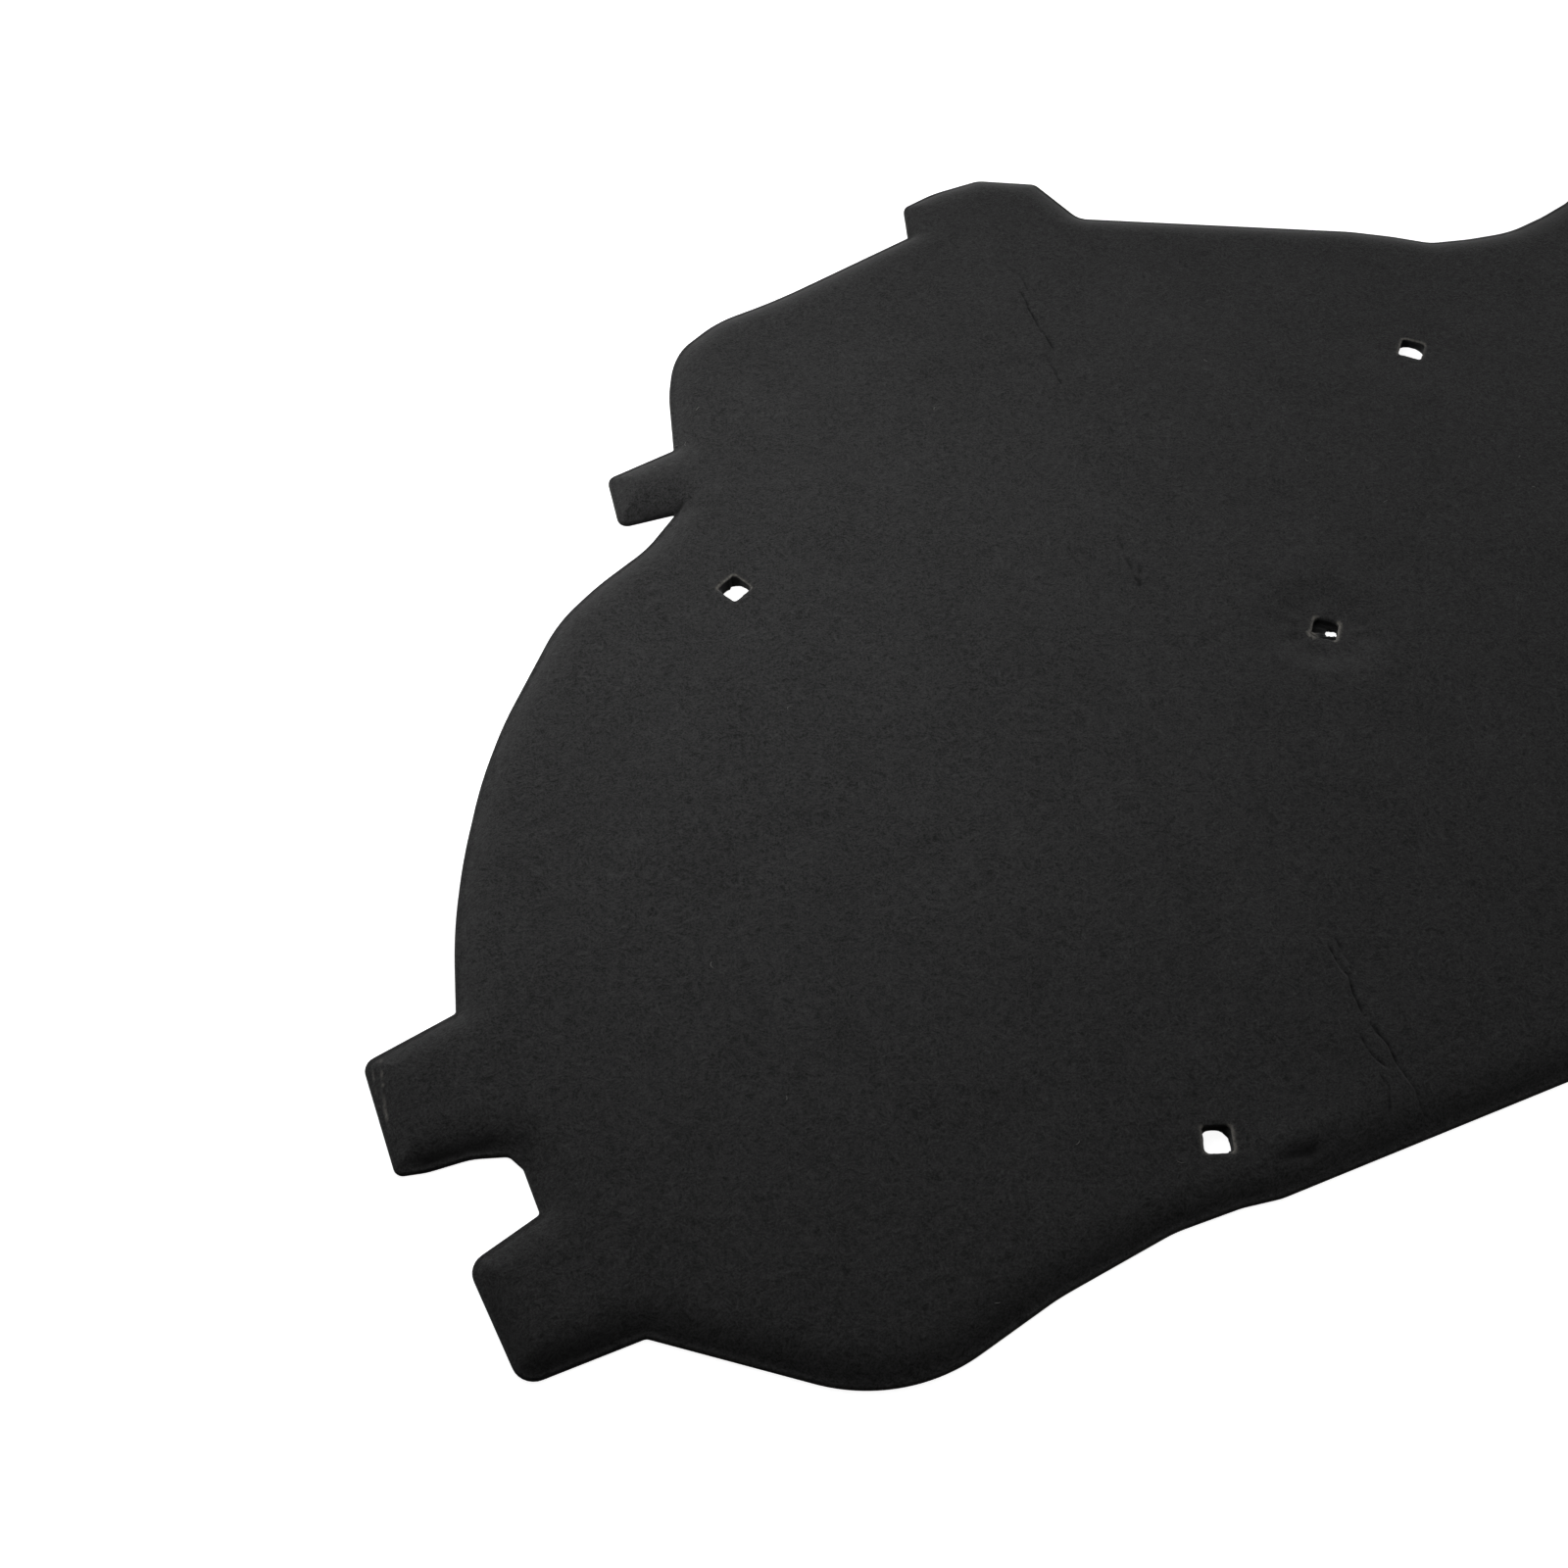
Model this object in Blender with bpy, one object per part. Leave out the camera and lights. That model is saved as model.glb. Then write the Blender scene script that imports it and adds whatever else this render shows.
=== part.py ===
"""Hood insulation pad: one moulded felt sheet with a thin pressed rim and square clip holes.

Metres, +Z up. The pad lies on its flat underside with its outer face up.
X runs across the car, and +Y points to the front edge, the one with the notch.
The origin is at the middle of the pad's plan, on the underside.
"""

import math

import bmesh
import bpy
import numpy as np
from mathutils import Matrix, Vector
from mathutils.geometry import delaunay_2d_cdt

# Overall sizes
PAD_WIDTH = 1.408
PAD_DEPTH = 0.5945
PAD_THICKNESS = 0.0090

# The edge: a narrow flat pressed rim, then a rounded roll up to the full thickness, steepest at the rim.
# A higher power makes the roll steeper at the rim and flatter at its top.
RIM_THICKNESS = 0.0030
RIM_WIDTH = 0.0020
ROLL_WIDTH = 0.0180
ROLL_POWER = 2.6

# Square holes for the push clips: place, and turn about Z in degrees. Each is measured from what it
# lies beside: the front one from the centreline and the front line, the shoulder one from the side and
# front lines, the middle one from the origin, and the rear one from the side and rear lines.
CLIP_HOLE_SIDE = 0.0115
FRONT_CLIP = (-0.1005, -0.2068, 47.0)
SHOULDER_CLIP = (0.2285, -0.2228, 25.0)
MIDDLE_CLIP = (-0.2335, -0.0490, 50.0)
REAR_CLIP = (0.2985, 0.0418, 69.0)

# Each clip's head sits on a round, lightly pressed seat. The middle ones are pressed deeper.
SEAT_RADIUS = 0.0140
SEAT_SLOPE_WIDTH = 0.0180
SEAT_THICKNESS = 0.0086
MIDDLE_SEAT_THICKNESS = 0.0066

# Corners of the left half, from the notch round to the rear edge: X, Y and the radius that rounds each.
# The notch and the front tab are measured from the centreline and the front line.
NOTCH_DEPTH = 0.1457
NOTCH_FLOOR_RADIUS = 0.060
NOTCH_CORNERS = [
    (-0.0235, -0.1419, 0.080),
    (-0.0435, -0.1368, 0.020),
    (-0.0600, -0.1244, 0.080),
    (-0.0785, -0.1126, 0.080),
]
FRONT_TAB_CORNERS = [
    (-0.2070, -0.0482, 0.010),
    (-0.2162, -0.0142, 0.006),
    (-0.2440, 0.0006, 0.012),
    (-0.2715, 0.0002, 0.060),
    (-0.2905, -0.0042, 0.005),
    (-0.2981, -0.0270, 0.002),
]

# The shoulder, its tab and the upper lobe are measured from the side line and the front line.
SHOULDER_CORNERS = [
    (0.3228, -0.0448, 0.300),
    (0.2878, -0.0484, 0.060),
    (0.2644, -0.0596, 0.040),
    (0.2552, -0.0703, 0.060),
    (0.2467, -0.0880, 0.100),
    (0.2355, -0.1245, 0.002),
    (0.1990, -0.1300, 0.005),
    (0.1940, -0.1606, 0.005),
    (0.2228, -0.1630, 0.001),
    (0.2010, -0.1795, 0.060),
    (0.1722, -0.1918, 0.150),
    (0.1475, -0.2058, 0.110),
    (0.1064, -0.2515, 0.200),
    (0.0872, -0.2781, 0.300),
]

# The lower lobe, the two side tabs and the rear lobe are measured from the side line and the rear line.
SIDE_CORNERS = [
    (0.0676, 0.2803, 0.300),
    (0.0535, 0.2480, 0.300),
    (0.0428, 0.2111, 0.002),
    (0.0015, 0.2035, 0.006),
    (0.0000, 0.1520, 0.004),
    (0.0117, 0.1492, 0.030),
    (0.0294, 0.1480, 0.030),
    (0.0430, 0.1434, 0.004),
    (0.0465, 0.1361, 0.003),
    (0.0465, 0.1156, 0.002),
    (0.0145, 0.1066, 0.008),
    (0.0185, 0.0545, 0.009),
    (0.0670, 0.0545, 0.003),
    (0.1448, -0.0058, 0.085),
    (0.2148, 0.0102, 0.100),
    (0.2670, 0.0166, 0.060),
    (0.2960, 0.0156, 0.030),
    (0.3120, 0.0131, 0.030),
]

# Fineness of the mesh. An arc takes at most ARC_SHARE of each straight beside it.
EDGE_STEP = 0.020
ARC_STEP_DEGREES = 15.0
ARC_SHARE = 0.48
ROLL_STEPS = 4
RING_SPACING = 0.006
SEAT_STEPS = 3
SEAT_SIDES = 16
CLEARANCE = 0.002
RING_KEEP_SHARE = 0.97
SMOOTH_UNDER_DEGREES = 35.0

# The triangulation's kind, which leaves the holes open, and the distance at which it joins points
INSIDE_ONLY = 2
MERGE_DISTANCE = 1e-7


def datums():
    """The lines that places are measured from: X of the left side, Y of the front and of the rear."""
    return -PAD_WIDTH / 2, PAD_DEPTH / 2, -PAD_DEPTH / 2


def left_corners():
    """The left half's corners in the pad's own frame, from the notch to the rear edge."""
    side, front, rear = datums()
    corners = [(0.0, front - NOTCH_DEPTH, NOTCH_FLOOR_RADIUS)]
    corners += [(x, front + y, r) for x, y, r in NOTCH_CORNERS + FRONT_TAB_CORNERS]
    corners += [(side + x, front + y, r) for x, y, r in SHOULDER_CORNERS]
    corners += [(side + x, rear + y, r) for x, y, r in SIDE_CORNERS]
    return corners


def all_corners():
    """The whole outline, anticlockwise: the left half, then its mirror image."""
    left = left_corners()
    right = [(-x, y, r) for x, y, r in reversed(left[1:])]
    return left + right


def rounded(corners):
    """Points along the outline, with an arc at each corner and even steps along each straight."""
    points = []
    count = len(corners)
    for i, (x, y, radius) in enumerate(corners):
        here = Vector((x, y))
        back = Vector(corners[i - 1][:2]) - here
        ahead = Vector(corners[(i + 1) % count][:2]) - here
        half = back.angle(ahead) / 2
        reach = min(radius / math.tan(half), ARC_SHARE * back.length, ARC_SHARE * ahead.length)
        radius = reach * math.tan(half)
        middle = (back.normalized() + ahead.normalized()).normalized()
        centre = here + middle * radius / math.sin(half)
        start = here + back.normalized() * reach - centre
        end = here + ahead.normalized() * reach - centre
        sweep = -start.angle_signed(end)
        steps = max(1, math.ceil(abs(math.degrees(sweep)) / ARC_STEP_DEGREES))
        points += [centre + Matrix.Rotation(sweep * k / steps, 2) @ start for k in range(steps + 1)]
    return evenly_filled(np.array(points))


def evenly_filled(points):
    """The same closed line, with points added so that no stretch is longer than EDGE_STEP."""
    filled = []
    for here, ahead in zip(points, np.roll(points, -1, axis=0)):
        steps = max(1, math.ceil(np.linalg.norm(ahead - here) / EDGE_STEP))
        filled += [here + (ahead - here) * k / steps for k in range(steps)]
    return np.array(filled)


def depth_inside(points, line):
    """How far each point lies inside the closed line, or, with a minus sign, outside it."""
    start = line[None, :, :]
    run = np.roll(line, -1, axis=0)[None, :, :] - start
    offset = points[:, None, :] - start
    share = np.clip((offset * run).sum(2) / (run * run).sum(2), 0.0, 1.0)
    distance = np.linalg.norm(offset - share[:, :, None] * run, axis=2).min(1)
    straddles = (offset[:, :, 1] < 0.0) != (offset[:, :, 1] < run[:, :, 1])
    rising = np.where(run[:, :, 1] == 0.0, 1.0, run[:, :, 1])
    to_the_right = offset[:, :, 0] < run[:, :, 0] * offset[:, :, 1] / rising
    crossings = (straddles & to_the_right).sum(1)
    return np.where(crossings % 2 == 1, distance, -distance)


def inner_ring(line, distance):
    """Points that lie this far inside the anticlockwise line, thinned where they crowd."""
    run = np.roll(line, -1, axis=0) - np.roll(line, 1, axis=0)
    normal = np.stack([-run[:, 1], run[:, 0]], axis=1) / np.linalg.norm(run, axis=1)[:, None]
    moved = line + normal * distance
    moved = moved[depth_inside(moved, line) > RING_KEEP_SHARE * distance]
    kept = [moved[0]]
    for point in moved[1:]:
        if np.linalg.norm(point - kept[-1]) > RING_SPACING:
            kept.append(point)
    return np.array(kept)


def clip_holes():
    """Every clip hole's centre, turn and seat thickness: the left half's, and their mirror images."""
    side, front, rear = datums()
    places = [
        (0.0, front, FRONT_CLIP, SEAT_THICKNESS),
        (side, front, SHOULDER_CLIP, SEAT_THICKNESS),
        (0.0, 0.0, MIDDLE_CLIP, MIDDLE_SEAT_THICKNESS),
        (side, rear, REAR_CLIP, SEAT_THICKNESS),
    ]
    left = [(datum_x + x, datum_y + y, turn, seat) for datum_x, datum_y, (x, y, turn), seat in places]
    return left + [(-x, y, -turn, seat) for x, y, turn, seat in left]


def around(x, y, radius, count, turn=0.0):
    """Points evenly round a centre, anticlockwise, the first one at this turn in degrees."""
    angles = math.radians(turn) + np.linspace(0.0, 2 * math.pi, count, endpoint=False)
    return np.stack([x + radius * np.cos(angles), y + radius * np.sin(angles)], axis=1)


def hole_outline(x, y, turn):
    """The four corners of a clip hole, clockwise, as a hole in a face is drawn."""
    return around(x, y, CLIP_HOLE_SIDE / math.sqrt(2), 4, turn + 45.0)[::-1]


def smooth(share):
    """An S-curve from 0 to 1."""
    share = np.clip(share, 0.0, 1.0)
    return share * share * (3.0 - 2.0 * share)


def top_height(points, line):
    """Height of the outer face: the flat rim, the roll, the level field and the pressed seats."""
    inside = depth_inside(points, line)
    left_of_roll = 1.0 - np.clip((inside - RIM_WIDTH) / ROLL_WIDTH, 0.0, 1.0)
    height = RIM_THICKNESS + (PAD_THICKNESS - RIM_THICKNESS) * (1.0 - left_of_roll**ROLL_POWER)
    for x, y, _, seat in clip_holes():
        away = np.hypot(points[:, 0] - x, points[:, 1] - y)
        slope = smooth((away - SEAT_RADIUS) / SEAT_SLOPE_WIDTH)
        height = np.minimum(height, seat + (PAD_THICKNESS - seat) * slope)
    return height


def loose_points(line):
    """Points of the outer face between the outline and the holes: along the roll and round the seats."""
    rings = [inner_ring(line, RIM_WIDTH + ROLL_WIDTH * k / ROLL_STEPS) for k in range(ROLL_STEPS + 1)]
    seats = []
    for x, y, _, _ in clip_holes():
        radii = [SEAT_RADIUS + SEAT_SLOPE_WIDTH * k / SEAT_STEPS for k in range(SEAT_STEPS + 1)]
        seats += [around(x, y, radius, SEAT_SIDES) for radius in radii]
    seats = np.concatenate(seats)
    seats = seats[depth_inside(seats, line) > RIM_WIDTH + CLEARANCE]
    points = np.concatenate(rings + [seats])
    for x, y, _, _ in clip_holes():
        away = np.hypot(points[:, 0] - x, points[:, 1] - y)
        points = points[away > CLIP_HOLE_SIDE / math.sqrt(2) + CLEARANCE]
    return points


def triangles(loops, loose):
    """Triangles between the outline and the holes, with corners at the loose points too."""
    points = np.concatenate(loops + loose)
    faces = []
    for loop in loops:
        first = faces[-1][-1] + 1 if faces else 0
        faces.append(list(range(first, first + len(loop))))
    result = delaunay_2d_cdt([Vector(p) for p in points], [], faces, int(INSIDE_ONLY), MERGE_DISTANCE)
    return np.array([tuple(v) for v in result[0]]), result[2]


def pad_mesh(name):
    """The closed pad: outer face, flat underside, edge wall and the walls of the clip holes."""
    line = rounded(all_corners())
    loops = [line] + [hole_outline(x, y, turn) for x, y, turn, _ in clip_holes()]
    top, top_faces = triangles(loops, [loose_points(line)])
    bottom, bottom_faces = triangles(loops, [])

    mesh = bmesh.new()
    heights = top_height(top, line)
    top_verts = [mesh.verts.new((x, y, z)) for (x, y), z in zip(top, heights)]
    bottom_verts = [mesh.verts.new((x, y, 0.0)) for x, y in bottom]
    for face in top_faces:
        mesh.faces.new([top_verts[k] for k in face])
    for face in bottom_faces:
        mesh.faces.new([bottom_verts[k] for k in reversed(face)])
    first = 0
    for loop in loops:
        last = first + len(loop)
        for k in range(first, last):
            ahead = k + 1 if k + 1 < last else first
            mesh.faces.new([bottom_verts[k], bottom_verts[ahead], top_verts[ahead], top_verts[k]])
        first = last
    bmesh.ops.recalc_face_normals(mesh, faces=mesh.faces)
    data = bpy.data.meshes.new(name)
    mesh.to_mesh(data)
    mesh.free()
    data.shade_smooth()
    data.set_sharp_from_angle(angle=math.radians(SMOOTH_UNDER_DEGREES))
    return data


def felt():
    """Near-black needled felt."""
    material = bpy.data.materials.new("black_felt")
    material.use_nodes = True
    shader = material.node_tree.nodes["Principled BSDF"]
    shader.inputs["Base Color"].default_value = (0.020, 0.020, 0.022, 1.0)
    shader.inputs["Roughness"].default_value = 0.95
    shader.inputs["Metallic"].default_value = 0.0
    return material


def main():
    for old in list(bpy.data.objects):
        bpy.data.objects.remove(old, do_unlink=True)
    pad = bpy.data.objects.new("insulation_pad", pad_mesh("insulation_pad"))
    pad.data.materials.append(felt())
    bpy.context.scene.collection.objects.link(pad)


main()
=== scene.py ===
"""Hood insulation pad dressed as a needled felt moulding, on a pale studio floor.

Metres, +Z up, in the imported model's frame: X across the car, +Y towards the notched front edge.
The outer skin is one sheet whose height is a function of X and Y, sampled where the shape needs it.
Its edge lip and the walls of its clip holes are profiles carried along closed lines.
The left half has the fold lines, dents and lint of the real one. The right half is finished plainly.
"""

import math
from collections import namedtuple

import bpy
import numpy as np
from bpy.props import FloatProperty, FloatVectorProperty, PointerProperty
from mathutils import Matrix, Vector
from mathutils.geometry import delaunay_2d_cdt


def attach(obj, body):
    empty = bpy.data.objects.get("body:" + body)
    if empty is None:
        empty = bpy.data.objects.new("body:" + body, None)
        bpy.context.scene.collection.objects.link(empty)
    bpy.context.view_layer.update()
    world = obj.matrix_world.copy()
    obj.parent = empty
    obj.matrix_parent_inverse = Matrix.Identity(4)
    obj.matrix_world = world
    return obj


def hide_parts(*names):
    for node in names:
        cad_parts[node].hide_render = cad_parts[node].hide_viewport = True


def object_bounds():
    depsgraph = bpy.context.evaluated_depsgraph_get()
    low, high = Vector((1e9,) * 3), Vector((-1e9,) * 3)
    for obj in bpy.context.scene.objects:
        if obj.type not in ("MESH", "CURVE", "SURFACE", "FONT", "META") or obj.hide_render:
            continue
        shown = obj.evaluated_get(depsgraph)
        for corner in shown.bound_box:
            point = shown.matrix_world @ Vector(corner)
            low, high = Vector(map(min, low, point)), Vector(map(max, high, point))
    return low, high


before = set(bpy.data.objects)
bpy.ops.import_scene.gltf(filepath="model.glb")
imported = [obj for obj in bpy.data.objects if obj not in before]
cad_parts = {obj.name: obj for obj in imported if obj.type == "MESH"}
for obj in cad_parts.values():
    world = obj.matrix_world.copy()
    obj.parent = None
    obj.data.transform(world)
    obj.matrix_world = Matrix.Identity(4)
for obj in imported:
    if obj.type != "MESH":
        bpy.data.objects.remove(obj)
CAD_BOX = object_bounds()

bl_info = {
    "name": "Hood insulation pad",
    "version": (1, 0, 0),
    "blender": (4, 5, 0),
    "location": "View3D > Sidebar > Hood pad",
    "description": "Builds a moulded felt hood pad and the studio it is seen in",
    "category": "Object",
}

CAD_NODE = "insulation_pad"
BODY = "root"

# The lines that places are measured from
SIDE_LINE = -0.7040
FRONT_LINE = 0.29725
REAR_LINE = -0.29725

# Corners of the left half's outline, from the notch to the rear edge: X, Y and the rounding radius.
# The notch and front tab are measured from the centreline and the front line.
NOTCH_CORNERS = [
    (0.0000, -0.1457, 0.060), (-0.0235, -0.1419, 0.080), (-0.0435, -0.1368, 0.020),
    (-0.0600, -0.1244, 0.080), (-0.0785, -0.1126, 0.080),
]
FRONT_TAB_CORNERS = [
    (-0.2070, -0.0482, 0.010), (-0.2162, -0.0142, 0.006), (-0.2440, 0.0006, 0.012),
    (-0.2715, 0.0002, 0.060), (-0.2905, -0.0042, 0.005), (-0.2981, -0.0270, 0.002),
]
# The shoulder, its tab and the upper lobe are measured from the side line and the front line.
SHOULDER_CORNERS = [
    (0.3228, -0.0448, 0.300), (0.2878, -0.0484, 0.060), (0.2644, -0.0596, 0.040),
    (0.2552, -0.0703, 0.060), (0.2467, -0.0880, 0.100), (0.2355, -0.1245, 0.002),
    (0.1990, -0.1300, 0.005), (0.1940, -0.1606, 0.005), (0.2228, -0.1630, 0.001),
    (0.2010, -0.1795, 0.060), (0.1722, -0.1918, 0.150), (0.1475, -0.2058, 0.110),
    (0.1064, -0.2515, 0.200), (0.0872, -0.2781, 0.300),
]
# The lower lobe, the two side tabs and the rear lobe are measured from the side line and the rear line.
SIDE_CORNERS = [
    (0.0676, 0.2803, 0.300), (0.0535, 0.2480, 0.300), (0.0428, 0.2111, 0.002),
    (0.0015, 0.2035, 0.006), (0.0000, 0.1520, 0.004), (0.0117, 0.1492, 0.030),
    (0.0294, 0.1480, 0.030), (0.0430, 0.1434, 0.004), (0.0465, 0.1361, 0.003),
    (0.0465, 0.1156, 0.002), (0.0145, 0.1066, 0.008), (0.0185, 0.0545, 0.009),
    (0.0670, 0.0545, 0.003), (0.1448, -0.0058, 0.085), (0.2148, 0.0102, 0.100),
    (0.2670, 0.0166, 0.060), (0.2960, 0.0156, 0.030), (0.3120, 0.0131, 0.030),
]
# An arc takes up at most this share of each side of its corner
ARC_SHARE = 0.48
ROLL_POWER = 2.6

# The left half's square clip holes: centre, turn about Z in degrees and the size that is the seat's height.
# Then, for each side anticlockwise from the one it is turned towards, how pale its cut fibres are, and how
# far its wall draws back towards the underside. The middle hole is the torn one.
MIDDLE_PLACE = (-0.2335, -0.0490)
CLIP_HOLES = [
    ("front", (-0.1005, 0.09045), 47.0, "seat_thickness", ((0.90, 1.0, 0.0, 0.45), (0.0034, 0.0, 0.0, 0.0008))),
    ("shoulder", (-0.4755, 0.07445), 25.0, "seat_thickness", ((0.60, 0.8, 0.0, 0.0), (0.0024, 0.0, 0.0, 0.0))),
    ("middle", MIDDLE_PLACE, 50.0, "middle_seat_thickness", ((0.05, 1.0, 0.0, 1.0), (0.0,) * 4)),
    ("rear", (-0.4055, -0.25545), 69.0, "seat_thickness", ((0.0, 0.8, 0.0, 0.8), (0.0014, 0.0, 0.0, 0.0))),
]
PLAIN_SIDES = (0.30,) * 4, (0.0008,) * 4
HOLE_CORNER_RADIUS = 0.0014
HOLE_ROUNDING = 0.34
HOLE_RAGGED = 0.00022
HOLE_TOP_RAGGED = 0.00010
HOLE_RAGGED_CELL = 0.0016

# The left middle hole is torn: a ledge of felt leaves only a small gap near its rear corner, and a scrap
# of felt, given by its reach and its height, stands in another corner
TORN_GAP_CENTRE = (-0.2302, -0.0502)
TORN_GAP_SIZE = (0.0060, 0.0042)
TORN_GAP_TURN = -22.0
TORN_GAP_RAGGED = 0.22
TORN_LEDGE_HEIGHT = 0.0022
TORN_LEDGE_BULGE = 0.0004
TORN_SCRAP = 0.0032, 0.0036

# Fold lines and pressed lines of the left half. Each has its depth, half width, side to side waver, the
# share of its length that fades at each end, and its path. A ridge has a depth below zero.
# Each groove is also coloured dark as painted shade, and each ridge pale as painted highlight.
LINES = {
    "upper_fold": (0.00063, 0.0008, 0.0004, 0.12, [
        (-0.2649, 0.2054), (-0.2667, 0.1916), (-0.2679, 0.1824), (-0.2690, 0.1722), (-0.2683, 0.1680),
        (-0.2692, 0.1549)]),
    "upper_fold_beside": (0.00045, 0.0007, 0.0003, 0.25, [
        (-0.2604, 0.2165), (-0.2602, 0.2093), (-0.2622, 0.2003)]),
    "upper_fold_tail": (0.00045, 0.0007, 0.0003, 0.30, [
        (-0.2744, 0.1556), (-0.2751, 0.1470), (-0.2761, 0.1359), (-0.2776, 0.1290)]),
    "fold_between": (0.00010, 0.0009, 0.0010, 0.20, [
        (-0.2776, 0.1290), (-0.2861, 0.0971), (-0.2937, 0.0516)]),
    "middle_fold_ridge": (-0.00006, 0.0011, 0.0003, 0.30, [
        (-0.2935, 0.0487), (-0.2926, 0.0357), (-0.2919, 0.0215)]),
    "middle_fold_left": (0.00038, 0.0009, 0.0005, 0.20, [
        (-0.2967, 0.0388), (-0.2988, 0.0251), (-0.3006, 0.0157), (-0.3041, -0.0014)]),
    "middle_fold_right": (0.00042, 0.0008, 0.0003, 0.12, [
        (-0.2947, 0.0191), (-0.2970, 0.0132), (-0.3002, 0.0068), (-0.3033, -0.0006)]),
    "faded_fold": (0.00010, 0.0010, 0.0012, 0.15, [
        (-0.3019, 0.0060), (-0.3043, -0.0936), (-0.3089, -0.1144), (-0.3138, -0.1560), (-0.3150, -0.1860)]),
    "lower_fold": (0.00093, 0.0008, 0.0003, 0.10, [
        (-0.3211, -0.1952), (-0.3220, -0.2074), (-0.3211, -0.2123), (-0.3235, -0.2197), (-0.3251, -0.2298),
        (-0.3247, -0.2325)]),
    "lower_fold_beside": (0.00070, 0.0007, 0.0003, 0.12, [
        (-0.3164, -0.1940), (-0.3177, -0.2031), (-0.3174, -0.2074), (-0.3188, -0.2125)]),
    "lower_fold_left": (0.00080, 0.0008, 0.0003, 0.15, [
        (-0.3309, -0.2372), (-0.3314, -0.2400), (-0.3316, -0.2471), (-0.3293, -0.2524), (-0.3284, -0.2550)]),
    "lower_fold_right": (0.00090, 0.0008, 0.0003, 0.08, [
        (-0.3247, -0.2325), (-0.3244, -0.2388), (-0.3229, -0.2453), (-0.3243, -0.2539), (-0.3236, -0.2655),
        (-0.3251, -0.2725), (-0.3250, -0.2792)]),
    "lower_fold_third": (0.00068, 0.0007, 0.0003, 0.20, [
        (-0.3326, -0.2521), (-0.3332, -0.2586), (-0.3329, -0.2620), (-0.3369, -0.2690), (-0.3393, -0.2729)]),
    "faint_slant": (0.00022, 0.0012, 0.0012, 0.25, [
        (-0.1223, 0.0257), (-0.1343, 0.0131), (-0.1538, -0.0063), (-0.1736, -0.0248), (-0.1928, -0.0428)]),
    "beside_rear_hole": (0.00020, 0.0008, 0.0005, 0.35, [
        (-0.4007, -0.2223), (-0.4025, -0.2286), (-0.4058, -0.2410)]),
    "side_tab_bead": (-0.00032, 0.0006, 0.0001, 0.12, [
        (-0.6946, -0.0945), (-0.6965, -0.1036), (-0.6982, -0.1108), (-0.6998, -0.1188), (-0.7003, -0.1265)]),
    "side_tab_rim_bead": (-0.00020, 0.0005, 0.0001, 0.15, [
        (-0.6983, -0.0955), (-0.7000, -0.1030), (-0.7011, -0.1105), (-0.7017, -0.1180)]),
    "side_tab_crease": (0.00050, 0.0028, 0.0003, 0.20, [
        (-0.6990, -0.1437), (-0.6900, -0.1455), (-0.6760, -0.1464), (-0.6640, -0.1472), (-0.6590, -0.1474)]),
    "rear_dent": (0.00110, 0.0020, 0.0002, 0.35, [
        (-0.3901, -0.2714), (-0.3819, -0.2722), (-0.3748, -0.2734), (-0.3669, -0.2742)]),
    "shoulder_slit": (0.00180, 0.0016, 0.0001, 0.20, [
        (-0.4870, 0.1318), (-0.4818, 0.1338), (-0.4790, 0.1352), (-0.4764, 0.1368)]),
    "shoulder_tab_edge": (0.00045, 0.0020, 0.0001, 0.25, [
        (-0.5085, 0.1368), (-0.4960, 0.1358), (-0.4860, 0.1350), (-0.4800, 0.1345)]),
}
LINE_STEP = 0.0016
# Sideways places of the points along a line, how far from it the others keep, how far it reaches, and its
# lip's place and width, all as shares of its half width
LINE_OFFSETS = np.array([-4.4, -2.9, -1.9, -1.1, -0.5, 0.0, 0.5, 1.1, 1.9, 2.9, 4.4])
LINE_CLEAR = 4.9
LINE_REACH = 7.0
LINE_LIP_PLACE = 2.3
LINE_LIP_WIDTH = 1.1
LINE_LIP = 0.08
# Cells of the noises along a line: its sway, coarse and fine, its strength and its dots
LINE_SWAY_CELL = 0.0055
LINE_FINE_SWAY_CELL = 0.0024
LINE_STRENGTH_CELL = 0.009
LINE_DOTS_CELL = 0.0022
# A line this deep has its full tone of painted shade, or of painted highlight on a ridge, and one wider than
# this isn't broken into dots
FULL_TONE_DEPTH = 0.00042
WIDE_LINE = 0.0014
WIDE_TONE = 0.75

# Soft dents and swells of the left half: centre, half length, half width, turn in degrees, height
SOFT_FORMS = [
    (-0.3776, -0.2722, 0.0130, 0.0034, -5.0, -0.0010),
    (-0.3770, -0.2650, 0.0180, 0.0050, -5.0, 0.0007),
    (-0.2700, 0.0900, 0.1600, 0.0420, 98.0, 0.0011),
    (-0.3550, -0.0100, 0.1300, 0.0600, 96.0, 0.0008),
    (-0.2300, 0.0250, 0.1300, 0.0500, 100.0, -0.0009),
    (-0.2900, -0.1500, 0.1000, 0.0450, 95.0, -0.0008),
    (-0.1700, -0.0100, 0.0600, 0.0140, 45.0, -0.0004),
    (*MIDDLE_PLACE, 0.0300, 0.0300, 0.0, -0.0012),
]

# Painted shade along the pressed, rolled edges of the second side tab, where their steep roll is in shade:
# centre, half length, half width, turn in degrees, tone
PAINTED_EDGE_SHADE = [
    (-0.6640, -0.2385, 0.0260, 0.0060, 0.0, -0.45),
    (-0.6850, -0.2180, 0.0210, 0.0050, -85.0, -0.32),
]

# Broad unevenness of the whole face: cell size and height of each octave
UNEVENNESS = [(0.110, 0.00070), (0.045, 0.00022), (0.017, 0.00008)]
NOISE_CELLS = 128

# Wrinkles that fan out from the torn hole: the middle and spread of their ring, and where they start
WRINKLE_COUNT = 9
WRINKLE_HEIGHT = 0.00028
WRINKLE_RING = (0.0150, 0.0100)
WRINKLE_START = (0.008, 0.004)

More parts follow.
